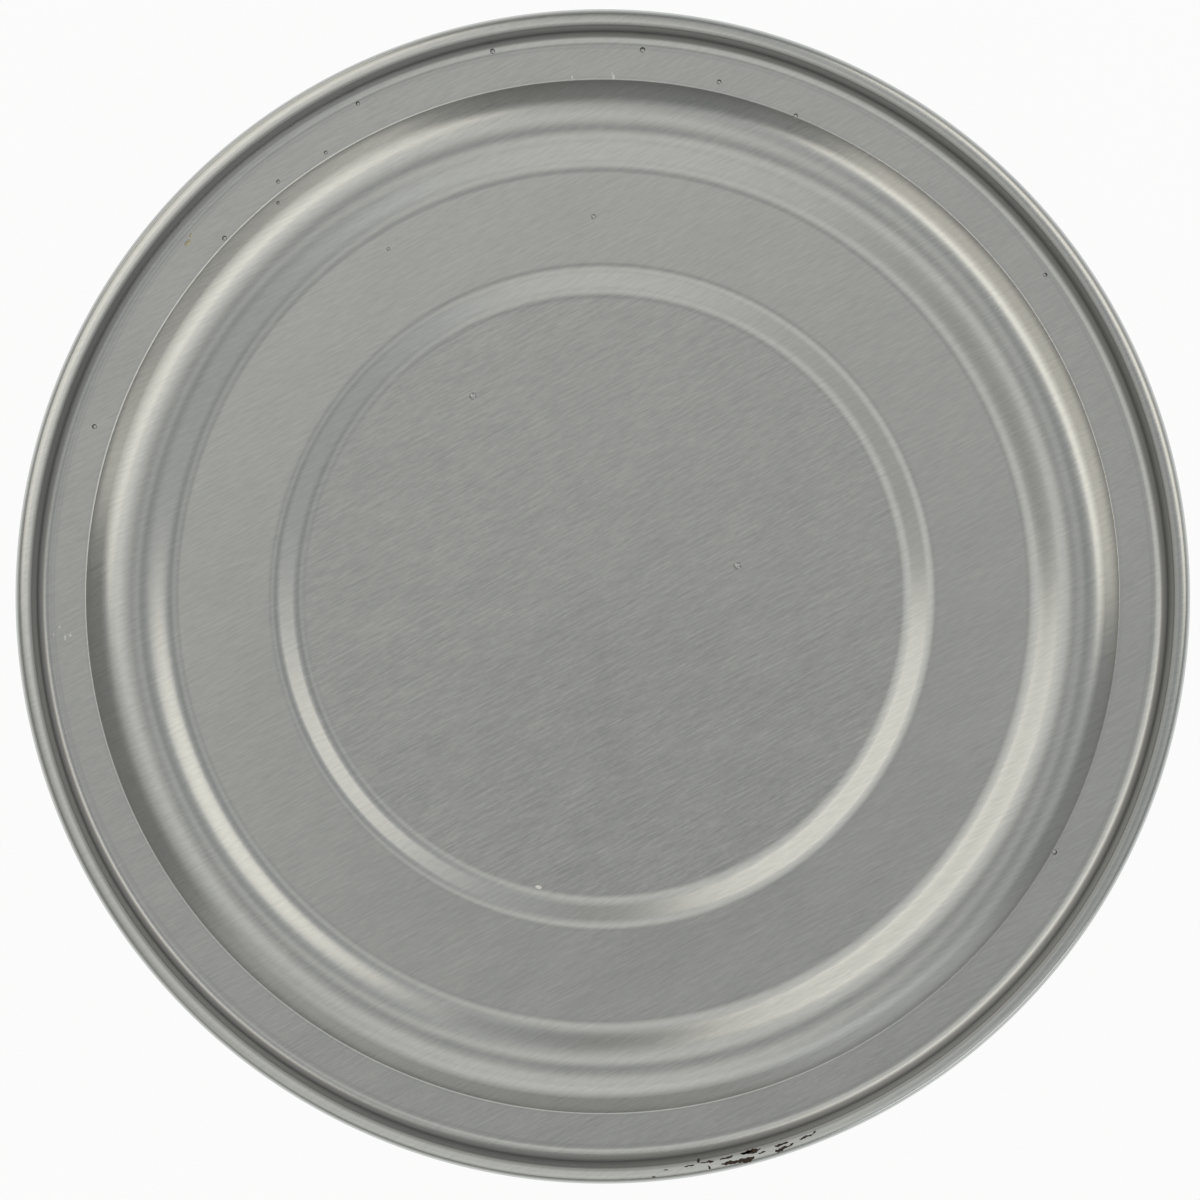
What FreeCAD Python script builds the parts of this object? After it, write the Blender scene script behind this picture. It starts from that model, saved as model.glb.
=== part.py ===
import FreeCAD, Part
import os

import Sketcher

# A double-seamed steel food can: a beaded body, and two formed ends that are one design.
# The can stands on the crest of its lower seam. +Z is up along its axis, and the origin is on
# that axis in the plane it stands on. All sizes are in millimetres.

SIZES = (
    # The whole can.
    ("can_height", 112.7, "crest to crest of the two seams"),
    ("seam_diameter", 76.2, "over the double seams"),
    # The tinplate.
    ("end_plate", 0.20, "plate of the ends"),
    ("body_plate", 0.16, "plate of the body's wall"),
    # The double seam.
    ("seam_height", 3.0, "crest to lower edge"),
    ("seam_thickness", 1.1, "outside to the chuck wall"),
    ("crest_round", 0.15, "crest's inner corner"),
    ("shoulder_round", 0.6, "crest's outer corner"),
    ("hook_round", 0.25, "lower edge's corner"),
    # The end inside its seam, from the chuck wall inwards.
    ("countersink_depth", 4.2, "crest down to the outer land"),
    ("chuck_lean", 0.15, "chuck wall's lean inwards on its way down"),
    ("countersink_round", 1.0, "chuck wall to the outer land"),
    ("outer_land", 2.1, "flat ring outside the raised bead"),
    ("bead_outer_flank", 3.0, "raised bead, foot to crest"),
    ("bead_inner_flank", 2.9, "raised bead, crest to middle land"),
    ("bead_rise", 0.9, "raised bead's crest above the outer land"),
    ("bead_fall", 0.6, "middle land below the raised bead's crest"),
    ("middle_land", 6.0, "flat ring inside the raised bead"),
    ("step_flank", 2.15, "width of the step to the centre panel"),
    ("step_drop", 0.45, "centre panel below the middle land"),
    # The stiffening beads rolled into the body.
    ("roll_count", 13, "number of rolled beads"),
    ("roll_pitch", 5.0, "spacing of the rolled beads"),
    ("roll_width", 3.6, "width of one rolled bead"),
    ("roll_depth", 0.55, "depth of one rolled bead"),
)

SHEET_NAME = "Sizes"

# Radii and depths that both an end and the body follow, as expressions on the sheet.
SEAM_RADIUS = "{seam_diameter} / 2"
CHUCK_TOP = SEAM_RADIUS + " - {seam_thickness}"
CHUCK_FOOT = CHUCK_TOP + " - {chuck_lean}"
SINK_EDGE = CHUCK_FOOT + " - {countersink_round}"
BEAD_FOOT = SINK_EDGE + " - {outer_land}"
BEAD_CREST = BEAD_FOOT + " - {bead_outer_flank}"
BEAD_INNER = BEAD_CREST + " - {bead_inner_flank}"
STEP_OUTER = BEAD_INNER + " - {middle_land}"
STEP_INNER = STEP_OUTER + " - {step_flank}"
BODY_RADIUS = CHUCK_TOP + " + {end_plate} + {body_plate}"
OUTER_DEPTH = "{countersink_depth}"
CREST_DEPTH = OUTER_DEPTH + " - {bead_rise}"
MIDDLE_DEPTH = CREST_DEPTH + " + {bead_fall}"
PANEL_DEPTH = MIDDLE_DEPTH + " + {step_drop}"
WALL_DEPTH = OUTER_DEPTH + " - {countersink_round}"

# Each side of an outline is straight or an arc. An arc's centre is straight above or below the
# end where it runs level, or beside the end where it runs plumb.
STRAIGHT = None
LEVEL_START = ("Vertical", "start")
LEVEL_END = ("Vertical", "end")
PLUMB_START = ("Horizontal", "start")
PLUMB_END = ("Horizontal", "end")


def bind(text):
    """Write an expression's {size} names as references to the sheet."""
    for name, _value, _note in SIZES:
        text = text.replace("{" + name + "}", SHEET_NAME + "." + name)
    return text


def make_sheet(doc):
    """Make the sheet that holds every driving size."""
    sheet = doc.addObject("Spreadsheet::Sheet", SHEET_NAME)
    for row, (name, value, note) in enumerate(SIZES, start=1):
        sheet.set("A%d" % row, name)
        sheet.set("B%d" % row, str(value))
        sheet.setAlias("B%d" % row, name)
        sheet.set("C%d" % row, note)
    doc.recompute()
    return sheet


def midway(first, second):
    """The expression halfway between two others."""
    return "(%s + %s) / 2" % (first, second)


def arc_centre(start, end, kind):
    """Centre of the arc from start to end that is level or plumb at one of them."""
    direction, at = kind
    near, far = (start, end) if at == "start" else (end, start)
    run = far - near
    if direction == "Vertical":
        return near + FreeCAD.Vector(0, run.Length ** 2 / (2 * run.y), 0)
    return near + FreeCAD.Vector(run.Length ** 2 / (2 * run.x), 0, 0)


def add_side(sketch, start, end, kind):
    """Add one side, and return its number and the point numbers of its start and its end."""
    if kind is STRAIGHT:
        return sketch.addGeometry(Part.LineSegment(start, end)), 1, 2
    centre = arc_centre(start, end, kind)
    circle = Part.Circle(centre, FreeCAD.Vector(0, 0, 1), (start - centre).Length)
    anticlockwise = (start - centre).cross(end - centre).z > 0
    first, last = (start, end) if anticlockwise else (end, start)
    arc = Part.ArcOfCircle(circle, circle.parameter(first), circle.parameter(last))
    return sketch.addGeometry(arc), (1 if anticlockwise else 2), (2 if anticlockwise else 1)


def hold_point(sketch, side, point, label, offset, axis_number, constraint):
    """Hold one coordinate of a point: on an axis where it is 0, or at a bound distance."""
    if offset == "0":
        sketch.addConstraint(Sketcher.Constraint("PointOnObject", side, point, axis_number))
        return
    value = sketch.evalExpression(bind(offset))
    number = sketch.addConstraint(Sketcher.Constraint(constraint, -1, 1, side, point, value))
    sketch.renameConstraint(number, label)
    sketch.setExpression("Constraints." + label, bind(offset))


def draw_outline(body, name, corners):
    """Draw a closed outline in the body's XZ plane.

    corners is a list of (radius, height, kind of the side that leaves this corner).
    """
    sketch = body.newObject("Sketcher::SketchObject", name)
    planes = [f for f in body.Origin.OriginFeatures if f.Role == "XZ_Plane"]
    sketch.AttachmentSupport = [(planes[0], "")]
    sketch.MapMode = "FlatFace"

    def place(corner):
        radius, height = (float(sketch.evalExpression(bind(text))) for text in corner[:2])
        return FreeCAD.Vector(radius, height, 0)

    sides = []
    for corner, following in zip(corners, corners[1:] + corners[:1]):
        sides.append(add_side(sketch, place(corner), place(following), corner[2]))
    for index, (side, start, end) in enumerate(sides):
        following, following_start, _ = sides[(index + 1) % len(sides)]
        sketch.addConstraint(Sketcher.Constraint("Coincident", side, end, following, following_start))
    for index, (corner, (side, start, end)) in enumerate(zip(corners, sides)):
        radius, height, kind = corner
        hold_point(sketch, side, start, "radius%d" % index, radius, -2, "DistanceX")
        hold_point(sketch, side, start, "height%d" % index, height, -1, "DistanceY")
        if kind is not STRAIGHT:
            direction, at = kind
            point = start if at == "start" else end
            sketch.addConstraint(Sketcher.Constraint(direction, side, 3, side, point))
    return sketch


def revolve(body, sketch, name, feature="PartDesign::Revolution"):
    """Turn an outline a full circle about the can's axis."""
    turned = body.newObject(feature, name)
    turned.Profile = sketch
    turned.ReferenceAxis = (sketch, ["V_Axis"])
    turned.Angle = 360
    return turned


def plate_path(depth_of):
    """The end's formed plate from the axis out to the foot of the chuck wall.

    depth_of turns a depth below the crest into a height expression. The same path gives the
    plate's upper side, its underside, and the faces of the body that lie against it.
    """
    outer = depth_of(OUTER_DEPTH)
    crest = depth_of(CREST_DEPTH)
    middle = depth_of(MIDDLE_DEPTH)
    panel = depth_of(PANEL_DEPTH)
    return [
        ("0", panel, STRAIGHT),
        (STEP_INNER, panel, LEVEL_START),
        (midway(STEP_INNER, STEP_OUTER), midway(panel, middle), LEVEL_END),
        (STEP_OUTER, middle, STRAIGHT),
        (BEAD_INNER, middle, LEVEL_START),
        (midway(BEAD_INNER, BEAD_CREST), midway(middle, crest), LEVEL_END),
        (BEAD_CREST, crest, LEVEL_START),
        (BEAD_FOOT, outer, STRAIGHT),
        (SINK_EDGE, outer, LEVEL_START),
    ]


def reverse_path(path, last_kind=STRAIGHT):
    """The same corners the other way round, with each side's kind kept on its side."""
    turned = {STRAIGHT: STRAIGHT, LEVEL_START: LEVEL_END, LEVEL_END: LEVEL_START,
              PLUMB_START: PLUMB_END, PLUMB_END: PLUMB_START}
    kinds = [turned[corner[2]] for corner in path[:-1]]
    corners = [corner[:2] for corner in reversed(path)]
    return [corner + (kind,) for corner, kind in zip(corners, list(reversed(kinds)) + [last_kind])]


def make_end(doc, label):
    """One end: formed plate, chuck wall and the seam ring, with its crest at height 0."""
    body = doc.addObject("PartDesign::Body", label)
    body.Label = label
    upper = plate_path(lambda depth: "-(%s)" % depth)
    under = plate_path(lambda depth: "-(%s + {end_plate})" % depth)
    wall_height = "-(%s)" % WALL_DEPTH
    seam_foot = "-{seam_height}"
    outline = under + [
        (CHUCK_FOOT + " + {end_plate}", wall_height, STRAIGHT),
        (CHUCK_TOP + " + {end_plate}", seam_foot, STRAIGHT),
        (SEAM_RADIUS + " - {hook_round}", seam_foot, LEVEL_START),
        (SEAM_RADIUS, "-({seam_height} - {hook_round})", STRAIGHT),
        (SEAM_RADIUS, "-{shoulder_round}", PLUMB_START),
        (SEAM_RADIUS + " - {shoulder_round}", "0", STRAIGHT),
        (CHUCK_TOP + " + {crest_round}", "0", LEVEL_START),
        (CHUCK_TOP, "-{crest_round}", STRAIGHT),
        (CHUCK_FOOT, wall_height, PLUMB_START),
    ] + reverse_path(upper)
    sketch = draw_outline(body, label + "_outline", outline)
    revolve(body, sketch, label + "_plate")
    return body


def make_can_body(doc, label):
    """The body: its wall with the rolled beads, closed by faces that lie against both ends."""
    body = doc.addObject("PartDesign::Body", label)
    body.Label = label
    chuck_outside = CHUCK_FOOT + " + {end_plate}"
    seam_outside = CHUCK_TOP + " + {end_plate}"
    lower = plate_path(lambda depth: "%s + {end_plate}" % depth)
    upper = plate_path(lambda depth: "{can_height} - (%s + {end_plate})" % depth)
    outline = lower + [
        (chuck_outside, WALL_DEPTH, STRAIGHT),
        (seam_outside, "{seam_height}", STRAIGHT),
        (BODY_RADIUS, "{seam_height}", STRAIGHT),
        (BODY_RADIUS, "{can_height} - {seam_height}", STRAIGHT),
        (seam_outside, "{can_height} - {seam_height}", STRAIGHT),
        (chuck_outside, "{can_height} - (%s)" % WALL_DEPTH, PLUMB_START),
    ] + reverse_path(upper)
    sketch = draw_outline(body, label + "_outline", outline)
    revolve(body, sketch, label + "_wall")
    roll_beads(doc, body, label)
    return body


def roll_beads(doc, body, label):
    """Cut the rolled beads: one round-bottomed groove, repeated up the wall about mid-height."""
    doc.recompute()
    plain_volume = body.Shape.Volume
    middle = "({can_height} - ({roll_count} - 1) * {roll_pitch}) / 2"
    low = middle + " - {roll_width} / 2"
    high = middle + " + {roll_width} / 2"
    outside = BODY_RADIUS + " + {roll_depth}"
    bead = draw_outline(body, label + "_bead_outline", [
        (outside, low, STRAIGHT),
        (outside, high, STRAIGHT),
        (BODY_RADIUS, high, PLUMB_END),
        (BODY_RADIUS + " - {roll_depth}", middle, PLUMB_START),
        (BODY_RADIUS, low, STRAIGHT),
    ])
    groove = revolve(body, bead, label + "_bead", "PartDesign::Groove")
    doc.recompute()
    pattern = body.newObject("PartDesign::LinearPattern", label + "_beads")
    pattern.Originals = [groove]
    pattern.Direction = (bead, ["V_Axis"])
    pattern.setExpression("Length", bind("({roll_count} - 1) * {roll_pitch}"))
    pattern.setExpression("Occurrences", bind("{roll_count}"))
    body.Tip = pattern
    doc.recompute()
    if body.Shape.Volume >= plain_volume:
        raise RuntimeError("the rolled beads cut nothing from " + label)


def check_document(doc, bodies):
    """Stop if any object failed, any outline is loose, or any sub-part is not one valid solid."""
    for item in doc.Objects:
        if "Invalid" in item.State or "Error" in item.State:
            raise RuntimeError("%s is in state %s" % (item.Label, item.State))
        if item.TypeId == "Sketcher::SketchObject" and not item.FullyConstrained:
            raise RuntimeError("%s is not fully constrained" % item.Label)
    for body in bodies:
        shape = body.Shape
        if shape.isNull() or not shape.isValid() or len(shape.Solids) != 1:
            raise RuntimeError("%s is not one valid solid" % body.Label)


def main():
    doc = FreeCAD.newDocument("can")
    make_sheet(doc)

    can_body = make_can_body(doc, "can_body")

    top_end = make_end(doc, "top_end")
    top_end.setExpression("Placement.Base.z", bind("{can_height}"))

    bottom_end = make_end(doc, "bottom_end")
    upside_down = FreeCAD.Rotation(FreeCAD.Vector(1, 0, 0), 180)
    bottom_end.Placement = FreeCAD.Placement(FreeCAD.Vector(0, 0, 0), upside_down)

    bodies = (can_body, top_end, bottom_end)
    doc.recompute()
    check_document(doc, bodies)

    os.makedirs("parts", exist_ok=True)
    for body in bodies:
        body.Shape.exportStep(os.path.join("parts", body.Label + ".step"))
        box = body.Shape.BoundBox
        print("%-11s volume %9.1f  z %7.2f to %7.2f  across %6.2f"
              % (body.Label, body.Shape.Volume, box.ZMin, box.ZMax, box.XLength))


main()
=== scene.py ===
"""An unopened steel food can without its label, standing on its bottom end.

Two beaded tinplate ends are seamed onto a body with rolled beads and a welded side seam. Small
marks lie on the top end, and the camera looks straight down on it. Everything is in metres, and
the can stands on z = 0.
"""
import math

import bpy
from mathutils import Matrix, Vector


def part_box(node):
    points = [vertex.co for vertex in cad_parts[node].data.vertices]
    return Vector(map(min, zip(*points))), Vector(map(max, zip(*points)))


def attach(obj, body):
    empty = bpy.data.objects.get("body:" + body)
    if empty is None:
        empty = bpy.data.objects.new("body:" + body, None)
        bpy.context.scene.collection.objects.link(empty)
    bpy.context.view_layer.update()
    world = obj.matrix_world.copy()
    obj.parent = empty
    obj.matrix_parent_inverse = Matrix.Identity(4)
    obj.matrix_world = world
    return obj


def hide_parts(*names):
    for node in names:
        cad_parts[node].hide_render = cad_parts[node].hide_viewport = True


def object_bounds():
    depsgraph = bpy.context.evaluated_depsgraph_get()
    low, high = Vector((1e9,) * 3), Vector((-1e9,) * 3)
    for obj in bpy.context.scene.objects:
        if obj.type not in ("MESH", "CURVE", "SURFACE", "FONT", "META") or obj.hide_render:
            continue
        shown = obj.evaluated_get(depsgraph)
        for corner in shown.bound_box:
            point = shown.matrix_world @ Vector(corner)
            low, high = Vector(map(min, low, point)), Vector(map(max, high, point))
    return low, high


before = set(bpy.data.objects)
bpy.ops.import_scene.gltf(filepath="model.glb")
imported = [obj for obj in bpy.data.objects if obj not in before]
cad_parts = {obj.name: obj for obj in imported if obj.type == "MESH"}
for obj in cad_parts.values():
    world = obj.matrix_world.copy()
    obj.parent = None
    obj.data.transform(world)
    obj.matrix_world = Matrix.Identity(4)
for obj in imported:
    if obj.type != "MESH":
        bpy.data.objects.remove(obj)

CAD_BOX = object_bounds()
MM = 0.001

# ---------------------------------------------------------------- sizes of the can

CAN_HEIGHT = CAD_BOX[1].z
SEAM_RADIUS = min(-CAD_BOX[0].x, -CAD_BOX[0].y, CAD_BOX[1].x, CAD_BOX[1].y)
BODY_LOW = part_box("can_body")[0].z
BODY_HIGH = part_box("can_body")[1].z
BODY_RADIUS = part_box("can_body")[1].x

# The formed end, from its middle outwards. Depths are below the crest of the seam.
CENTRE_DEPTH = 4.39 * MM
MIDDLE_LAND_DEPTH, MIDDLE_LAND_FALL = 3.92 * MM, 0.08 * MM
BEAD_DEPTH = 3.36 * MM
OUTER_LAND_DEPTH = 4.02 * MM
STEP_INNER, STEP_OUTER = 19.48 * MM, 21.82 * MM
BEAD_INNER, CREST_INNER = 27.70 * MM, 30.86 * MM
CREST_OUTER, BEAD_OUTER = 30.98 * MM, 33.83 * MM
OUTER_LAND_EDGE = 36.00 * MM
STEP_FOOT_ROUND, STEP_TOP_ROUND = 2.8 * MM, 2.4 * MM
BEAD_INNER_ROUND, BEAD_FOOT_ROUND = 3.0 * MM, 0.28 * MM
BEAD_INNER_SWELL = 1.4  # degrees that the bead's inner slope gains on the way
SWELL_PEAK, SWELL_STEP = 0.4, 0.5  # where on the slope it is steepest, and degrees a step
CREST_INNER_ROUND, CREST_OUTER_ROUND = 4.3 * MM, 5.4 * MM
SINK_LEAD_ROUND, SINK_LEAD_TURN = 1.4 * MM, 26.0  # the countersink starts gently
COUNTERSINK_ROUND = 0.5 * MM
WALL_LEAN = 1.7  # degrees from upright
PLATE = 0.2 * MM

# The double seam.
CREST_CORNER = 0.15 * MM
CREST_ROUND, CREST_FALL = 2.2 * MM, 17.0
SHOULDER_ROUND = 0.44 * MM
HOOK_ROUND = 0.25 * MM
SEAM_BOTTOM = CAN_HEIGHT - BODY_HIGH
SEAM_INSIDE = BODY_RADIUS - 0.3 * MM

# The body.
BODY_PLATE = 0.16 * MM
BODY_LAP = 0.1 * MM  # how far the body's edges reach up into the seams
BODY_CAP_DEPTH = 4.75 * MM
ROLL_COUNT = 13
ROLL_PITCH = 5.0 * MM
ROLL_WIDTH = 3.6 * MM
ROLL_DEPTH = 0.55 * MM
FIRST_ROLL = (BODY_LOW + BODY_HIGH - (ROLL_COUNT - 1) * ROLL_PITCH) / 2
ROWS_PER_ROLL = 14
WELD_WIDTH, WELD_HEIGHT = 0.7 * MM, 0.05 * MM

STEPS_ROUND = 384
TOUCHING = 0.001 * MM

# ---------------------------------------------------------------- node trees, written as sums


class Wire:
    """One output of a node. Sums on wires add Math nodes."""

    def __init__(self, graph, socket):
        self.graph = graph
        self.socket = socket

    def beside(self, name):
        """Another output of the same node."""
        return Wire(self.graph, pick(self.socket.node.outputs, name))

    def __add__(self, other):
        return self.graph.math("ADD", self, other)

    def __sub__(self, other):
        return self.graph.math("SUBTRACT", self, other)

    def __rsub__(self, other):
        return self.graph.math("SUBTRACT", other, self)

    def __mul__(self, other):
        return self.graph.math("MULTIPLY", self, other)

    def __truediv__(self, other):
        return self.graph.math("DIVIDE", self, other)

    def __rtruediv__(self, other):
        return self.graph.math("DIVIDE", other, self)

    def __pow__(self, other):
        return self.graph.math("POWER", self, other)

    def __abs__(self):
        return self.graph.math("ABSOLUTE", self)

    __radd__ = __add__
    __rmul__ = __mul__


def pick(sockets, key):
    """The socket with that number, identifier or name."""
    if isinstance(key, int):
        return sockets[key]
    for socket in sockets:
        if socket.enabled and key in (socket.identifier, socket.name):
            return socket
    raise KeyError(f"no socket {key!r} in {[s.name for s in sockets]}")


class Graph:
    """A node tree that is being built."""

    def __init__(self, tree):
        self.tree = tree

    def add(self, kind, settings=None, sockets=None, out=None):
        """Adds a node: its settings, then the value or wire of each socket. Gives its output."""
        node = self.tree.nodes.new(kind)
        for name, value in (settings or {}).items():
            if name == "stops":
                self.set_stops(node.color_ramp, value)
            else:
                setattr(node, name, value)
        for key, value in (sockets or {}).items():
            target = pick(node.inputs, key)
            if isinstance(value, Wire):
                self.tree.links.new(value.socket, target)
            else:
                target.default_value = value
        if out is not None:
            return Wire(self, pick(node.outputs, out))
        shown = [s for s in node.outputs if s.enabled]
        return Wire(self, shown[0]) if shown else node

    def set_stops(self, ramp, stops):
        """Places a ramp's stops, each a position and a colour."""
        while len(ramp.elements) < len(stops):
            ramp.elements.new(1.0)
        for element, (place, colour) in zip(ramp.elements, stops):
            element.position = place
            element.color = colour

    def math(self, operation, *values, clamp=False):
        settings = {"operation": operation, "use_clamp": clamp}
        return self.add("ShaderNodeMath", settings, dict(enumerate(values)))

    def mix(self, amount, first, second):
        """Blends two colours."""
        return self.add("ShaderNodeMix", {"data_type": "RGBA"}, {
            "Factor_Float": amount, "A_Color": first, "B_Color": second}, out="Result_Color")

    def split(self, vector):
        """The parts of a vector: X, with Y and Z beside it."""
        return self.add("ShaderNodeSeparateXYZ", sockets={0: vector})

    def join(self, **parts):
        """A vector from its X, Y and Z. A part that is left out is nought."""
        return self.add("ShaderNodeCombineXYZ", sockets=parts)

    def move(self, shape, place):
        """Puts each point of a shape at a place."""
        return self.add("GeometryNodeSetPosition", sockets={"Geometry": shape, "Position": place})

    def object_place(self):
        """Where a spot lies, in its piece's own coordinates."""
        return self.add("ShaderNodeTexCoord", out="Object")

    def group(self, tree, sockets):
        return self.add("GeometryNodeGroup", {"node_tree": tree}, sockets)


SOCKET_KINDS = {
    float: "NodeSocketFloat", int: "NodeSocketInt", "shape": "NodeSocketGeometry",
    "finish": "NodeSocketMaterial", "thing": "NodeSocketObject"}


def shape_tree(name, inputs, gives="Shape"):
    """A Geometry Nodes tree with named inputs. Gives it, its graph and its input wires by name."""
    tree = bpy.data.node_groups.new(name, "GeometryNodeTree")
    for label, default in inputs.items():
        kind = SOCKET_KINDS[default if isinstance(default, str) else type(default)]
        socket = tree.interface.new_socket(label, in_out="INPUT", socket_type=kind)
        if not isinstance(default, str):
            socket.default_value = default
    kind = "NodeSocketFloat" if gives != "Shape" else "NodeSocketGeometry"
    tree.interface.new_socket(gives, in_out="OUTPUT", socket_type=kind)
    graph = Graph(tree)
    entry = tree.nodes.new("NodeGroupInput")
    return tree, graph, {label: Wire(graph, pick(entry.outputs, label)) for label in inputs}


def end_tree(graph, shape, finish):
    """The last nodes of a tree: smooth shading, real geometry and its finish."""
    shape = graph.add("GeometryNodeSetShadeSmooth", sockets={
        "Geometry": shape, "Shade Smooth": True})
    shape = graph.add("GeometryNodeRealizeInstances", sockets={"Geometry": shape})
    shape = graph.add("GeometryNodeSetMaterial", sockets={"Geometry": shape, "Material": finish})
    graph.add("NodeGroupOutput", sockets={"Shape": shape})


def lathe_tree():
    """Turns an outline round the Z axis. It is drawn in the XZ plane, from the lower pole up."""
    tree, g, given = shape_tree("Lathe", {
        "Outline": "shape", "Steps round": STEPS_ROUND, "Touching": TOUCHING, "Finish": "finish"})
    rows = g.add("GeometryNodeAttributeDomainSize", {"component": "MESH"},
                 {"Geometry": given["Outline"]}, out="Point Count")
    grid = g.add("GeometryNodeMeshGrid", sockets={
        "Vertices X": given["Steps round"] + 1, "Vertices Y": rows})
    index = g.add("GeometryNodeInputIndex")
    row = g.math("MODULO", index, rows)
    turn = (index - row) / rows
    place = g.add("GeometryNodeSampleIndex", {"data_type": "FLOAT_VECTOR"}, {
        "Geometry": given["Outline"], "Value": g.add("GeometryNodeInputPosition"), "Index": row})
    across = g.split(place)
    angle = turn * math.tau / given["Steps round"]
    spot = g.join(X=across * g.math("COSINE", angle), Y=across * g.math("SINE", angle),
                  Z=across.beside("Z"))
    skin = g.add("GeometryNodeMergeByDistance", sockets={
        "Geometry": g.move(grid, spot), "Distance": given["Touching"]})
    end_tree(g, skin, given["Finish"])
    return tree


ROLLS = {
    "First roll": FIRST_ROLL, "Roll pitch": ROLL_PITCH, "Roll count": ROLL_COUNT,
    "Roll width": ROLL_WIDTH, "Roll depth": ROLL_DEPTH}


def roll_sink_tree():
    """How far the rolled beads press the wall in, at a height."""
    tree, g, given = shape_tree("Roll sink", {"Height": 0.0, **ROLLS}, gives="Sink")
    along = (given["Height"] - given["First roll"]) / given["Roll pitch"]
    nearest = g.math("MAXIMUM", g.math("ROUND", along), 0.0)
    nearest = g.math("MINIMUM", nearest, given["Roll count"] - 1)
    off = abs(along - nearest) * given["Roll pitch"] * 2 / given["Roll width"]
    wave = g.math("COSINE", g.math("MINIMUM", off, 1.0) * math.pi) / 2 + 0.5
    g.add("NodeGroupOutput", sockets={"Sink": wave * given["Roll depth"]})
    return tree


def rolled_body_tree(sink_tree):
    """Presses rolled beads into a turned body."""
    tree, g, given = shape_tree("Rolled body", {
        "Body": "shape", "Body radius": BODY_RADIUS, **ROLLS, "Finish": "finish"})
    spot = g.split(g.add("GeometryNodeInputPosition"))
    height = spot.beside("Z")
    sink = g.group(sink_tree, {"Height": height, **{label: given[label] for label in ROLLS}})
    draw_in = 1 - sink / given["Body radius"]
    moved = g.join(X=spot * draw_in, Y=spot.beside("Y") * draw_in, Z=height)
    end_tree(g, g.move(given["Body"], moved), given["Finish"])
    return tree


def side_weld_tree(sink_tree):
    """A low weld bead on the side that faces +Y. It follows the rolled wall from seam to seam."""
    tree, g, given = shape_tree("Side weld", {
        "Line": "shape", "Body radius": BODY_RADIUS, "Weld width": WELD_WIDTH,
        "Weld height": WELD_HEIGHT, **ROLLS, "Finish": "finish"})
    height = g.split(g.add("GeometryNodeInputPosition")).beside("Z")
    sink = g.group(sink_tree, {"Height": height, **{label: given[label] for label in ROLLS}})
    wall = g.join(Y=given["Body radius"] - sink, Z=height)
    rail = g.add("GeometryNodeMeshToCurve", sockets={"Mesh": g.move(given["Line"], wall)})
    rail = g.add("GeometryNodeSetCurveNormal", {"mode": "FREE"}, {
        "Curve": rail, "Normal": (1.0, 0.0, 0.0)})
    section = g.add("GeometryNodeCurvePrimitiveCircle", sockets={"Resolution": 12, "Radius": 0.5})
    section = g.add("GeometryNodeTransform", sockets={
        "Geometry": section,
        "Scale": g.join(X=given["Weld width"], Y=given["Weld height"] * 2, Z=1.0)})
    bead = g.add("GeometryNodeCurveToMesh", sockets={
        "Curve": rail, "Profile Curve": section, "Fill Caps": True})
    end_tree(g, bead, given["Finish"])
    return tree


def marks_tree():
    """Small marks that lie on a surface: a flat blob on each point, of the point's size and turn,
    ragged by noise. Reach down is how far below the highest place they still follow it."""
    tree, g, given = shape_tree("Marks", {
        "Spots": "shape", "Surface": "thing", "Roundness": 3, "Ragged": 0.0,
        "Ragged size": 0.2 * MM, "Seed": 0.0, "Highest": CAN_HEIGHT, "Reach down": 1.0,
        "Finish": "finish"})

    def stored(name, kind):
        return g.add("GeometryNodeInputNamedAttribute", {"data_type": kind}, {"Name": name},
                     out="Attribute")

    blob = g.add("GeometryNodeMeshIcoSphere", sockets={
        "Radius": 0.5, "Subdivisions": given["Roundness"]})
    blobs = g.add("GeometryNodeInstanceOnPoints", sockets={
        "Points": given["Spots"], "Instance": blob, "Scale": stored("size", "FLOAT_VECTOR"),
        "Rotation": g.join(Z=stored("turn", "FLOAT"))})
    blobs = g.add("GeometryNodeRealizeInstances", sockets={"Geometry": blobs})
    here = g.add("GeometryNodeInputPosition")
    noise = g.add("ShaderNodeTexNoise", {"noise_dimensions": "4D"}, {
        "Vector": here, "W": given["Seed"], "Scale": 1 / given["Ragged size"],
        "Detail": 2.0}, out="Color")
    spot, push = g.split(here), g.split(noise)
    x = spot + (push - 0.5) * given["Ragged"]
    y = spot.beside("Y") + (push.beside("Y") - 0.5) * given["Ragged"]
    surface = g.add("GeometryNodeObjectInfo", sockets={"Object": given["Surface"]}, out="Geometry")
    ground = g.add("GeometryNodeRaycast", sockets={
        "Target Geometry": surface, "Source Position": g.join(X=x, Y=y, Z=given["Highest"] + 0.01),
        "Ray Direction": (0.0, 0.0, -1.0), "Ray Length": 1.0}, out="Hit Position")
    low = g.math("MAXIMUM", g.split(ground).beside("Z"), given["Highest"] - given["Reach down"])
    z = g.math("MINIMUM", low + spot.beside("Z"), given["Highest"])
    end_tree(g, g.move(blobs, g.join(X=x, Y=y, Z=z)), given["Finish"])
    return tree


# ---------------------------------------------------------------- outlines


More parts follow.
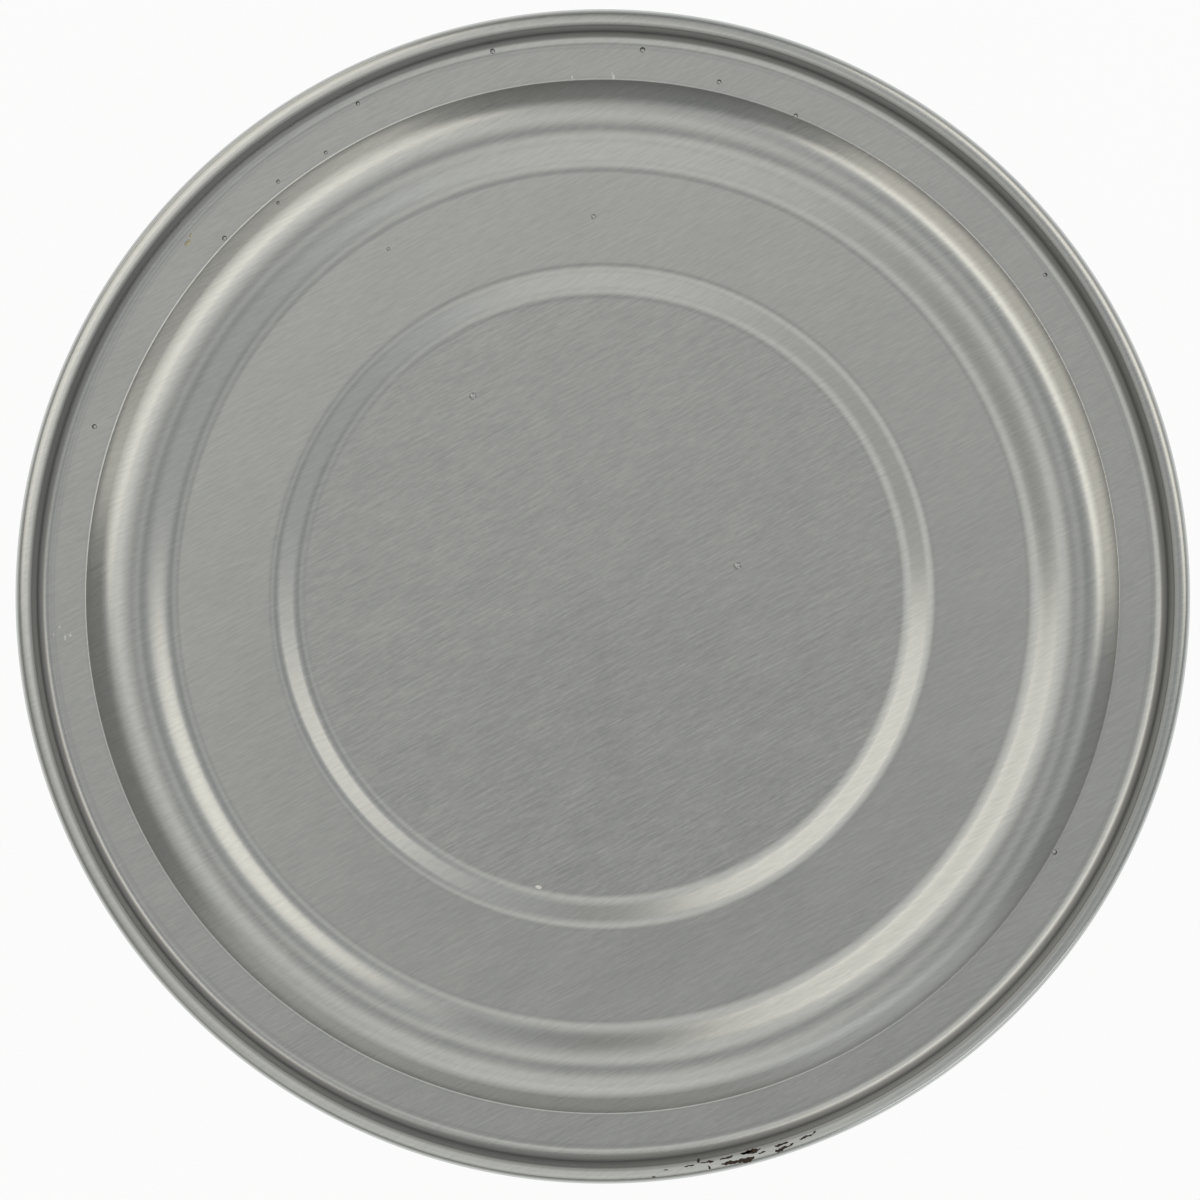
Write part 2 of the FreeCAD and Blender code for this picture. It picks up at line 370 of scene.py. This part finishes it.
class Pen:
    """Draws one side of the formed plate in the (r, z) plane. Its heading is in degrees."""

    def __init__(self, r, z, heading=0.0):
        self.points = [(r, z)]
        self.heading = heading

    def line(self, length, guard=0.04 * MM):
        """A straight run, with a point near each end so that shading stays flat in between."""
        r, z = self.points[-1]
        cosine, sine = math.cos(math.radians(self.heading)), math.sin(math.radians(self.heading))
        for along in ([guard, length - guard] if length > 3 * guard else []) + [length]:
            self.points.append((r + along * cosine, z + along * sine))

    def level_to(self, radius):
        """A level run outwards or inwards to a radius."""
        self.line(abs(radius - self.points[-1][0]))

    def run_to(self, r, z):
        """A straight run to a point. The heading stays as it was."""
        r_now, z_now = self.points[-1]
        heading, self.heading = self.heading, math.degrees(math.atan2(z - z_now, r - r_now))
        self.line(math.hypot(r - r_now, z - z_now))
        self.heading = heading

    def bend(self, radius, turn, step):
        """An arc that turns left by turn degrees, or right if that is negative. Each of its
        steps turns by about step degrees."""
        r, z = self.points[-1]
        side = 1 if turn > 0 else -1
        start = math.radians(self.heading - 90 * side)
        centre_r, centre_z = r - radius * math.cos(start), z - radius * math.sin(start)
        parts = max(2, round(abs(turn) / step))
        for k in range(1, parts + 1):
            now = start + math.radians(turn) * k / parts
            self.points.append((centre_r + radius * math.cos(now),
                                centre_z + radius * math.sin(now)))
        self.heading += turn

    def flank(self, width, height, foot_round, top_round, swell=0.0, step=2.2):
        """A slope between two level runs, rounded at both ends. A negative height goes down.
        With a swell, a rising slope gets that much steeper on the way, and flatter again."""
        rounds, rise = foot_round + top_round, abs(height)
        apart = math.hypot(width, rounds - rise)
        tilt = math.atan2(width, rounds - rise) - math.acos(min(1.0, rounds / apart))
        straight = (width - rounds * math.sin(tilt)) / math.cos(tilt)
        turn = math.degrees(tilt) * (1 if height > 0 else -1)
        self.bend(foot_round if height > 0 else top_round, turn, step)
        if swell:
            swell_round = straight / math.radians(swell)
            self.bend(SWELL_PEAK * swell_round, swell, SWELL_STEP)
            self.bend((1 - SWELL_PEAK) * swell_round, -swell, SWELL_STEP)
        elif straight > TOUCHING:
            self.line(straight)
        self.bend(top_round if height > 0 else foot_round, -turn, step)


def plate_top():
    """The upper side of the formed end, from its middle out to the seam's crest, at z = 0."""
    pen = Pen(0.0, -CENTRE_DEPTH)
    pen.level_to(STEP_INNER)
    pen.flank(STEP_OUTER - STEP_INNER, CENTRE_DEPTH - MIDDLE_LAND_DEPTH,
              STEP_FOOT_ROUND, STEP_TOP_ROUND)
    pen.run_to(BEAD_INNER, -MIDDLE_LAND_DEPTH - MIDDLE_LAND_FALL)
    pen.flank(CREST_INNER - BEAD_INNER, MIDDLE_LAND_DEPTH + MIDDLE_LAND_FALL - BEAD_DEPTH,
              BEAD_INNER_ROUND, CREST_INNER_ROUND, BEAD_INNER_SWELL)
    pen.level_to(CREST_OUTER)
    pen.flank(BEAD_OUTER - CREST_OUTER, BEAD_DEPTH - OUTER_LAND_DEPTH,
              BEAD_FOOT_ROUND, CREST_OUTER_ROUND)
    pen.level_to(OUTER_LAND_EDGE)
    pen.bend(SINK_LEAD_ROUND, SINK_LEAD_TURN, 2)
    pen.bend(COUNTERSINK_ROUND, 90 - WALL_LEAN - SINK_LEAD_TURN, 4)
    wall_foot, lean = -pen.points[-1][1], math.radians(WALL_LEAN)
    pen.line((wall_foot - CREST_CORNER * (1 - math.sin(lean))) / math.cos(lean))
    return pen


def underside(points, thickness):
    """The same side again, thickness below it."""
    result = []
    for k, (r, z) in enumerate(points):
        before, after = points[max(k - 1, 0)], points[min(k + 1, len(points) - 1)]
        run, rise = after[0] - before[0], after[1] - before[1]
        span = math.hypot(run, rise)
        result.append((max(0.0, r + thickness * rise / span), z - thickness * run / span))
    return result


def end_outline():
    """The whole end as one closed shell: under the plate, round the seam and back over the top.
    The crest is at z = 0."""
    pen = plate_top()
    below = [(r, z) for r, z in underside(pen.points, PLATE)
             if z <= -SEAM_BOTTOM and r < SEAM_INSIDE]
    below[0] = (0.0, below[0][1])
    pen.bend(CREST_CORNER, WALL_LEAN - 90, 9)
    pen.bend(CREST_ROUND, -CREST_FALL, 3)
    pen.bend(SHOULDER_ROUND, CREST_FALL - 90, 6)
    stretch = SEAM_RADIUS / pen.points[-1][0]
    pen.points = [(r if r < OUTER_LAND_EDGE else r * stretch, z) for r, z in pen.points]
    pen.line(SEAM_BOTTOM - HOOK_ROUND + pen.points[-1][1])
    pen.bend(HOOK_ROUND, -90, 9)
    pen.line(pen.points[-1][0] - SEAM_INSIDE)
    return below + pen.points[::-1]


def body_outline():
    """The body as one closed shell with plain walls. Its caps lie hidden, just under the ends."""
    inside = BODY_RADIUS - BODY_PLATE
    low_cap, high_cap = BODY_CAP_DEPTH, CAN_HEIGHT - BODY_CAP_DEPTH
    low, high = BODY_LOW - BODY_LAP, BODY_HIGH + BODY_LAP
    first = FIRST_ROLL - ROLL_PITCH / 2
    last = first + ROLL_COUNT * ROLL_PITCH
    rows = ROLL_COUNT * ROWS_PER_ROLL
    wall = [low, BODY_LOW + ROLL_PITCH / 4, (BODY_LOW + first) / 2]
    wall += [first + (last - first) * k / rows for k in range(rows + 1)]
    wall += [(BODY_HIGH + last) / 2, BODY_HIGH - ROLL_PITCH / 4, high]
    return ([(0.0, low_cap), (inside, low_cap), (inside, low)] + [(BODY_RADIUS, z) for z in wall]
            + [(inside, high), (inside, high_cap), (0.0, high_cap)])


def put(name, data):
    """A new object in the scene."""
    made = bpy.data.objects.new(name, data)
    bpy.context.scene.collection.objects.link(made)
    return made


def chain(name, points):
    """An object whose mesh is a row of points joined by edges."""
    mesh = bpy.data.meshes.new(name)
    mesh.from_pydata(points, [(k, k + 1) for k in range(len(points) - 1)], [])
    return put(name, mesh)


def grow(made, *steps):
    """Runs Geometry Nodes trees on an object, each with its inputs, and leaves a plain mesh."""
    for tree, values in steps:
        modifier = made.modifiers.new(tree.name, "NODES")
        modifier.node_group = tree
        for item in tree.interface.items_tree:
            if item.in_out == "INPUT" and item.name in values:
                modifier[item.identifier] = values[item.name]
    bpy.context.view_layer.update()
    ready = made.evaluated_get(bpy.context.evaluated_depsgraph_get())
    mesh = bpy.data.meshes.new_from_object(ready)
    made.modifiers.clear()
    made.data = mesh
    mesh.name = made.name
    return made


# ---------------------------------------------------------------- finishes

GRAIN_ANGLE = math.radians(28.0)
GRAIN_HEIGHT = 0.0008 * MM
DARK_TIN, PALE_TIN = (0.455, 0.470, 0.464, 1.0), (0.650, 0.667, 0.648, 1.0)

# Streaks in the tinplate: length, width and depth. On the ends they run through the whole sheet.
END_GRAIN, END_HAIR = (1.15 * MM, 0.19 * MM, 1.0), (3.0 * MM, 0.10 * MM, 1.0)
END_STIPPLE, END_CLOUD = (0.30 * MM, 0.18 * MM, 1.0), (6.0 * MM, 3.0 * MM, 1.0)
BODY_GRAIN, BODY_HAIR = (3.0 * MM, 3.0 * MM, 0.16 * MM), (8.0 * MM, 8.0 * MM, 0.09 * MM)
BODY_CLOUD = (9.0 * MM, 9.0 * MM, 5.0 * MM)
END_SHEEN, BODY_SHEEN = 0.19, 0.23

# Thin darker rings at the edges of the flats, where the slopes begin: radius and strength.
EDGE_RINGS = [(19.50 * MM, 0.25), (21.87 * MM, 0.2), (27.74 * MM, 0.25),
              (30.84 * MM, 0.3), (33.90 * MM, 0.6), (35.87 * MM, 0.9)]
EDGE_RING_WIDTH, EDGE_RING_TINT = 0.14 * MM, 0.35
EDGE_RING_TIN = (0.42, 0.435, 0.445, 1.0)

# The die has rubbed the grain down outside the centre panel, and little is left at the rim.
FORMED_POLISH, FORMED_FADE = 0.38, 0.8 * MM
RIM_GRAIN = 0.25

# The wall of the countersink is scuffed and too steep for grain to show. Its darker colour is
# painted shade, partly also the scuffing.
WALL_MIDDLE, WALL_MIDDLE_HALF = 36.84 * MM, 0.21 * MM
WALL_SHADE_TINT, SCUFF_SHEEN = 0.9, 0.24
WALL_SHADE_TIN = (0.285, 0.285, 0.28, 1.0)

# The lacquer stripe over the side weld.
LACQUER_HALF, LACQUER_EDGE = 4.0 * MM, 0.25 * MM
LACQUER_STRAY, STRAYS_PER_METRE = 0.8 * MM, 180.0  # how far its edge strays, and how often
LACQUER_TINT, LACQUER_SHEEN = 0.35, 0.06
LACQUERED_TIN = (0.50, 0.47, 0.38, 1.0)


def finish_graph(name):
    """A new material. Gives it and its graph."""
    material = bpy.data.materials.new(name)
    material.use_nodes = True
    material.node_tree.nodes.clear()
    return material, Graph(material.node_tree)


def close_finish(graph, sockets):
    """The shader and the output of a material."""
    shader = graph.add("ShaderNodeBsdfPrincipled", sockets=sockets)
    graph.add("ShaderNodeOutputMaterial", sockets={"Surface": shader})


def streaks(graph, place, turn, size, detail=2.0, roughness=0.55):
    """Noise drawn out into streaks of that size (length, width and depth), turned about Z."""
    turned = graph.add("ShaderNodeMapping", {"vector_type": "TEXTURE"}, {
        "Vector": place, "Rotation": (0.0, 0.0, turn), "Scale": size})
    return graph.add("ShaderNodeTexNoise", sockets={
        "Vector": turned, "Scale": 1.0, "Detail": detail, "Roughness": roughness})


def sway(noise, amount):
    """Noise that swings about nought by half that amount each way."""
    return (noise - 0.5) * amount


def relief(graph, height, depth):
    """A bump in the surface, that deep where the height is one."""
    return graph.add("ShaderNodeBump", sockets={
        "Strength": 1.0, "Distance": depth, "Height": height})


def tin_colour(graph, tone):
    """The tinplate's colour, from its dark streaks at nought to its pale ones at one."""
    return graph.mix(graph.math("ADD", tone, 0.0, clamp=True), DARK_TIN, PALE_TIN)


def end_tinplate():
    """Tinplate with its rolled grain running straight across the end, thin darker rings at the
    edges of the flats, and painted shade on the countersink wall.
    """
    material, g = finish_graph("end_tinplate")
    place = g.object_place()
    spot = g.split(place)
    radius = (spot * spot + spot.beside("Y") * spot.beside("Y")) ** 0.5
    grain = streaks(g, place, GRAIN_ANGLE, END_GRAIN)
    hair = streaks(g, place, GRAIN_ANGLE, END_HAIR, detail=1.0)
    stipple = streaks(g, place, GRAIN_ANGLE, END_STIPPLE, detail=1.0)
    cloud = streaks(g, place, GRAIN_ANGLE, END_CLOUD, detail=3.0)
    off_wall = g.math("MULTIPLY", abs(radius - WALL_MIDDLE) - WALL_MIDDLE_HALF,
                      1 / WALL_MIDDLE_HALF, clamp=True)
    formed = g.math("MULTIPLY_ADD", radius - STEP_INNER, 1 / FORMED_FADE, 0.0, clamp=True)
    on_face = g.math("MULTIPLY_ADD", SEAM_RADIUS - radius, 1 / SHOULDER_ROUND, RIM_GRAIN,
                     clamp=True)
    grained = g.math("MINIMUM", off_wall, on_face) * (1 - formed * FORMED_POLISH)
    lines = 0.0
    # Thin darker rings at the edges of the flats.
    for line, strength in EDGE_RINGS:
        lines = g.math("MAXIMUM", lines, (1 - abs(radius - line) / EDGE_RING_WIDTH) * strength)
    streaked = sway(grain, 0.9) + sway(hair, 0.5) + sway(stipple, 0.2)
    tin = tin_colour(g, streaked * grained + sway(cloud, 0.2) + 0.5)
    tin = g.mix(lines * EDGE_RING_TINT, tin, EDGE_RING_TIN)
    # Painted shade: the countersink wall's colour is darkened.
    tin = g.mix((1 - off_wall) * WALL_SHADE_TINT, tin, WALL_SHADE_TIN)
    sheen = END_SHEEN + (sway(hair, 0.10) + sway(stipple, 0.05)) * grained + sway(cloud, 0.04)
    sheen = sheen + (1 - off_wall) * SCUFF_SHEEN
    bump = relief(g, (grain + hair * 0.5) * grained, GRAIN_HEIGHT)
    close_finish(g, {"Base Color": tin, "Metallic": 1.0, "Roughness": sheen, "Normal": bump})
    return material


def body_tinplate():
    """Tinplate with its rolled grain running round the body, and a clear lacquer stripe."""
    material, g = finish_graph("body_tinplate")
    place = g.object_place()
    spot = g.split(place)
    grain = streaks(g, place, 0.0, BODY_GRAIN)
    hair = streaks(g, place, 0.0, BODY_HAIR, detail=1.0)
    cloud = streaks(g, place, 0.0, BODY_CLOUD, detail=3.0)
    tin = tin_colour(g, sway(grain, 1.0) + sway(hair, 0.6) + sway(cloud, 0.4) + 0.5)
    stray = g.add("ShaderNodeTexNoise", sockets={
        "Vector": place, "Scale": STRAYS_PER_METRE, "Detail": 2.0})
    from_edge = LACQUER_HALF - abs(spot + sway(stray, LACQUER_STRAY))
    stripe = g.math("MULTIPLY", from_edge / LACQUER_EDGE,
                    g.math("GREATER_THAN", spot.beside("Y"), 0.0), clamp=True)
    tin = g.mix(stripe * LACQUER_TINT, tin, LACQUERED_TIN)
    sheen = BODY_SHEEN + sway(hair, 0.12) + sway(cloud, 0.05) - stripe * LACQUER_SHEEN
    bump = relief(g, grain + hair * 0.5, GRAIN_HEIGHT)
    close_finish(g, {"Base Color": tin, "Metallic": 1.0, "Roughness": sheen, "Normal": bump})
    return material


def pimple_tin():
    """Tinplate stretched smooth over a pimple."""
    material, g = finish_graph("pimple_tin")
    mottle = streaks(g, g.object_place(), 0.0, (0.2 * MM, 0.2 * MM, 0.2 * MM))
    tin = g.mix(mottle, (0.44, 0.45, 0.45, 1.0), (0.60, 0.60, 0.59, 1.0))
    close_finish(g, {"Base Color": tin, "Metallic": 1.0, "Roughness": 0.16 + mottle * 0.1})
    return material


def dirt(name, darker, lighter, grain=0.15 * MM, roughness=0.6):
    """A dull finish for specks of dirt, mottled from one colour to another."""
    material, g = finish_graph(name)
    mottle = streaks(g, g.object_place(), 0.0, (grain, grain, grain), detail=4.0, roughness=0.7)
    amount = g.math("MULTIPLY_ADD", mottle, 2.4, -0.7, clamp=True)
    colour = g.mix(amount, (*darker, 1.0), (*lighter, 1.0))
    bump = relief(g, mottle, 0.02 * MM)
    close_finish(g, {"Base Color": colour, "Roughness": roughness, "Normal": bump})
    return material


def weld_steel():
    """The side weld: steel darkened by heat."""
    material, g = finish_graph("weld_steel")
    ripple = streaks(g, g.object_place(), 0.0, (2.0 * MM, 2.0 * MM, 0.5 * MM), detail=3.0)
    steel = g.mix(ripple, (0.20, 0.20, 0.21, 1.0), (0.36, 0.36, 0.36, 1.0))
    bump = relief(g, ripple, 0.01 * MM)
    close_finish(g, {"Base Color": steel, "Metallic": 1.0, "Roughness": 0.38, "Normal": bump})
    return material


# ---------------------------------------------------------------- the can

LATHE = lathe_tree()
ROLL_SINK = roll_sink_tree()
ROLLED_BODY = rolled_body_tree(ROLL_SINK)
SIDE_WELD = side_weld_tree(ROLL_SINK)
MARKS = marks_tree()
END_TINPLATE = end_tinplate()
BODY_TINPLATE = body_tinplate()
WELD_STEEL = weld_steel()


def turn_piece(name, points, finish, *steps):
    """A piece turned from its outline, with any steps that follow."""
    made = chain(name, [(r, 0.0, z) for r, z in points])
    turning = {"Steps round": STEPS_ROUND, "Touching": TOUCHING, "Finish": finish}
    return grow(made, (LATHE, turning), *steps)


def build_can():
    """The three pieces of the can and its weld."""
    outline = end_outline()
    top = turn_piece("top_end_plate", [(r, CAN_HEIGHT + z) for r, z in outline], END_TINPLATE)
    bottom = turn_piece("bottom_end_plate", [(r, -z) for r, z in outline[::-1]], END_TINPLATE)
    wall = turn_piece("body_wall", body_outline(), BODY_TINPLATE,
                      (ROLLED_BODY, {"Finish": BODY_TINPLATE}))
    rows = round((BODY_HIGH - BODY_LOW) / ROLL_PITCH * ROWS_PER_ROLL)
    weld_low, step = BODY_LOW - BODY_LAP / 2, (BODY_HIGH - BODY_LOW + BODY_LAP) / rows
    weld = chain("side_weld", [(0.0, BODY_RADIUS, weld_low + step * k) for k in range(rows + 1)])
    grow(weld, (SIDE_WELD, {"Finish": WELD_STEEL}))
    return top, bottom, wall, weld


top_end, bottom_end, body_wall, side_weld = build_can()
for piece, node, slot in (
        (top_end, "top_end", "end_tinplate"),
        (bottom_end, "bottom_end", "end_tinplate"),
        (body_wall, "can_body", "body_tinplate")):
    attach(piece, "root")
    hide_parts(node)
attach(side_weld, "root")

# ---------------------------------------------------------------- marks on the top end

# Each is x, y, length and width in millimetres, seen from above with the can's axis at 0, 0.
PIMPLES = [
    (-7.2, 35.6, 0.34, 0.34), (2.6, 35.7, 0.38, 0.38), (7.6, 33.6, 0.34, 0.34),
    (12.6, 31.4, 0.30, 0.30), (-16.0, 32.2, 0.30, 0.30), (-18.1, 29.0, 0.26, 0.26),
    (-21.2, 27.1, 0.28, 0.28), (-21.2, 25.7, 0.24, 0.24), (-24.7, 23.4, 0.34, 0.34),
    (-33.2, 11.1, 0.34, 0.34), (-8.5, 13.1, 0.48, 0.48), (8.8, 2.0, 0.50, 0.50),
    (-0.6, 24.8, 0.34, 0.34), (-14.0, 22.7, 0.26, 0.26), (28.9, 21.0, 0.30, 0.30),
    (29.5, -16.7, 0.36, 0.36)]
PALE_FLECKS = [
    (0.7, 33.95, 0.22, 0.36), (0.6, 34.2, 0.10, 0.20), (-4.2, -19.0, 0.42, 0.24),
    (-35.15, -2.7, 0.38, 0.20), (-35.5, -2.0, 0.20, 0.17), (-35.9, -2.5, 0.22, 0.16),
    (-34.8, -2.55, 0.18, 0.22), (-2.0, 33.9, 0.12, 0.24)]
TAN_FLECKS = [(-27.1, 23.1, 0.56, 0.32), (-26.9, 23.6, 0.28, 0.16)]
RESIDUE = [
    (6.2, -36.6, 0.16, 0.34), (6.8, -36.65, 0.90, 0.11), (6.9, -37.0, 0.15, 0.20),
    (5.6, -36.9, 0.75, 0.08), (4.1, -37.2, 0.26, 0.07), (3.3, -37.6, 0.22, 0.09),
    (8.0, -36.4, 0.95, 0.14), (8.25, -36.7, 1.20, 0.20), (9.4, -36.5, 0.90, 0.36),
    (9.0, -36.55, 0.80, 0.20), (9.6, -35.98, 1.30, 0.28), (9.3, -36.05, 0.80, 0.20),
    (10.3, -36.05, 0.50, 0.10), (11.6, -35.5, 0.95, 0.13), (11.45, -35.9, 0.60, 0.26),
    (11.75, -35.75, 0.70, 0.16), (12.2, -35.55, 0.40, 0.11), (13.2, -35.0, 1.00, 0.10),
    (13.6, -34.85, 0.30, 0.10), (13.7, -34.7, 0.20, 0.10)]
PIMPLE_HEIGHT = 0.30 * MM
PALE_HEIGHT, TAN_HEIGHT, RESIDUE_HEIGHT = 0.06 * MM, 0.08 * MM, 0.05 * MM


def lay_marks(name, places, thickness, finish, **settings):
    """Lays marks on the top end, the long way of each along the seam."""
    mesh = bpy.data.meshes.new(name)
    mesh.from_pydata([(x * MM, y * MM, 0.0) for x, y, _, _ in places], [], [])
    sizes, turns = [], []
    for x, y, long, wide in places:
        sizes += [long * MM, wide * MM, thickness]
        turns.append(math.atan2(y, x) + math.pi / 2)
    mesh.attributes.new("size", "FLOAT_VECTOR", "POINT").data.foreach_set("vector", sizes)
    mesh.attributes.new("turn", "FLOAT", "POINT").data.foreach_set("value", turns)
    marks = put(name, mesh)
    grow(marks, (MARKS, {"Surface": top_end, "Finish": finish, **settings}))
    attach(marks, "root")


lay_marks("pimples", PIMPLES, PIMPLE_HEIGHT, pimple_tin())
lay_marks("pale_flecks", PALE_FLECKS, PALE_HEIGHT,
          dirt("fleck_pale", (0.88, 0.88, 0.85), (0.96, 0.96, 0.93)),
          **{"Ragged": 0.08 * MM, "Ragged size": 0.14 * MM, "Seed": 3.0})
lay_marks("tan_flecks", TAN_FLECKS, TAN_HEIGHT,
          dirt("fleck_tan", (0.60, 0.53, 0.34), (0.84, 0.78, 0.60)),
          **{"Ragged": 0.14 * MM, "Ragged size": 0.14 * MM, "Seed": 5.0})
lay_marks("seam_residue", RESIDUE, RESIDUE_HEIGHT,
          dirt("residue_brown", (0.014, 0.011, 0.007), (0.060, 0.034, 0.018), 0.12 * MM, 0.7),
          **{"Roundness": 4, "Ragged": 0.36 * MM, "Ragged size": 0.20 * MM, "Seed": 1.0,
             "Reach down": 0.16 * MM})

# ---------------------------------------------------------------- floor, lamps and camera

FLOOR_RADIUS, FLOOR_CORNERS = 6.0, 64
FLOOR_GLOW = 0.94  # how much of the floor's look is plain white; the rest takes the shadow


def build_floor():
    """A plain white floor. It shows white, with a faint shadow of the can."""
    mesh = bpy.data.meshes.new("floor")
    turns = [math.tau * k / FLOOR_CORNERS for k in range(FLOOR_CORNERS)]
    corners = [(FLOOR_RADIUS * math.cos(a), FLOOR_RADIUS * math.sin(a), 0.0) for a in turns]
    mesh.from_pydata(corners, [], [tuple(range(FLOOR_CORNERS))])
    material, g = finish_graph("floor_white")
    path = g.add("ShaderNodeLightPath", out="Is Camera Ray")
    seen = path
    for ray in ("Is Glossy Ray", "Is Transmission Ray"):
        seen = g.math("MAXIMUM", seen, path.beside(ray))
    paint = g.add("ShaderNodeBsdfDiffuse", sockets={"Color": (0.85, 0.85, 0.85, 1.0)})
    glow = g.add("ShaderNodeEmission", sockets={"Color": (1.0, 1.0, 1.0, 1.0), "Strength": 1.0})
    mixed = g.add("ShaderNodeMixShader", sockets={0: seen * FLOOR_GLOW, 1: paint, 2: glow})
    g.add("ShaderNodeOutputMaterial", sockets={"Surface": mixed})
    mesh.materials.append(material)
    floor = put("floor", mesh)


CREAM = (1.0, 0.92, 0.78)
PALE_CREAM = (1.0, 0.95, 0.86)
IVORY = (1.0, 0.985, 0.945)
WHITE = (1.0, 1.0, 1.0)
TIN_BRIGHTNESS = 0.56  # how much light the tinplate sends back


def heading(side, down):
    """The direction that lies at a side angle and down from straight above."""
    turn, tip = math.radians(side), math.radians(down)
    return math.sin(tip) * math.cos(turn), math.sin(tip) * math.sin(turn), math.cos(tip)


def soft_lamp(name, side, down, wide, tall, level, tint):
    """A soft box one metre from the top of the can, facing it. Side is the way it stands, in
    degrees from +X towards +Y, and down is its angle from straight above. Wide and tall are its
    size in degrees as the can sees it. Level is how bright it looks in the tinplate, where 1 is
    white."""
    data = bpy.data.lights.new(name, "AREA")
    data.shape = "RECTANGLE"
    data.size = 2 * math.tan(math.radians(wide / 2))
    data.size_y = 2 * math.tan(math.radians(tall / 2))
    data.energy = level / TIN_BRIGHTNESS * math.pi * data.size * data.size_y
    data.color = tint
    lamp = put(name, data)
    x, y, z = heading(side, down)
    lamp.location = (x, y, z + CAN_HEIGHT)
    lamp.rotation_euler = (math.radians(down), 0.0, math.radians(side) + math.pi / 2)


# The room. Each part of it has an angle from the middle of the dark patch overhead, and a level,
# which is how bright it looks in the tinplate. It blends evenly from one part to the next.
PATCH_SIDE, PATCH_DOWN = 285.0, 3.0  # where the patch is
PATCH, GAP, WALLS = (0, 0.155), (43, 0.12), (70, 0.32)
PALE_CEILING = [(12, 0.43), (17, 0.44), (32, 0.29), (37, 0.19)]
DARK_CEILING = [(8, 0.29), (17, 0.19), (32, 0.33)]
PANEL_SIDE, PANEL_EDGE, PANEL_SOFT = 8.0, 0.17, 0.15  # where the pale ceiling ends, a metre up


def build_room():
    """A room whose pale ceiling ends on one side, with a darker patch overhead."""
    world = bpy.data.worlds.new("studio")
    bpy.context.scene.world = world
    world.use_nodes = True
    world.node_tree.nodes.clear()
    g = Graph(world.node_tree)
    way = g.add("ShaderNodeTexCoord", out="Generated")

    def along(direction):
        return g.add("ShaderNodeVectorMath", {"operation": "DOT_PRODUCT"}, {
            0: way, 1: direction}, out="Value")

    from_patch = g.math("MINIMUM", along(heading(PATCH_SIDE, PATCH_DOWN)), 1.0)
    angle = g.math("ARCCOSINE", from_patch) / (math.pi / 2)

    def side_of_room(ceiling, tint):
        """The room's colours by the angle from the patch. The patch itself is white."""
        stops = [(down / 90, (*(level * part for part in (WHITE if down == 0 else tint)), 1.0))
                 for down, level in (PATCH, *ceiling, GAP, WALLS)]
        return g.add("ShaderNodeValToRGB", {"stops": stops}, {"Fac": angle})

    pale, dark = side_of_room(PALE_CEILING, IVORY), side_of_room(DARK_CEILING, WHITE)
    out_from_middle = (along(heading(PANEL_SIDE, 90))
                       / g.math("MAXIMUM", along((0.0, 0.0, 1.0)), 0.001))
    under_pale = g.math("DIVIDE", PANEL_EDGE + PANEL_SOFT / 2 - out_from_middle, PANEL_SOFT,
                        clamp=True)
    air = g.add("ShaderNodeBackground", sockets={
        "Color": g.mix(under_pale, dark, pale), "Strength": 1 / TIN_BRIGHTNESS})
    g.add("ShaderNodeOutputWorld", sockets={"Surface": air})


def build_lamps():
    """Soft boxes round the can."""
    soft_lamp("key_right", 30.0, 37.5, 42.0, 17.0, 0.33, CREAM)
    soft_lamp("key_right_core", 34.0, 33.5, 39.0, 7.0, 0.26, PALE_CREAM)
    soft_lamp("key_left", 141.0, 33.0, 40.0, 20.0, 0.385, PALE_CREAM)
    soft_lamp("key_left_high", 148.0, 20.0, 30.0, 10.0, 0.12, PALE_CREAM)
    soft_lamp("fill_front", 270.0, 35.5, 66.0, 15.0, 0.145, IVORY)
    soft_lamp("low_right", 32.0, 60.0, 54.0, 23.0, 0.06, CREAM)
    soft_lamp("low_back", 130.0, 60.0, 34.0, 23.0, 0.28, PALE_CREAM)
    soft_lamp("low_front", 310.0, 63.0, 27.0, 23.0, 0.45, WHITE)


CAMERA_RISE = 500 * MM
FRAME_WIDTH = 77.76 * MM
AIM = (-0.18 * MM, -0.233 * MM)


def build_camera():
    """Looks straight down on the top end, with +Y up in the view."""
    data = bpy.data.cameras.new("camera")
    data.sensor_width = 36.0
    data.lens = data.sensor_width * CAMERA_RISE / FRAME_WIDTH
    data.clip_start, data.clip_end = 0.01, 50.0
    camera = put("camera", data)
    camera.location = (*AIM, CAN_HEIGHT + CAMERA_RISE)
    bpy.context.scene.camera = camera


build_floor()
build_room()
build_lamps()
build_camera()
bpy.context.scene.view_settings.view_transform = "Standard"
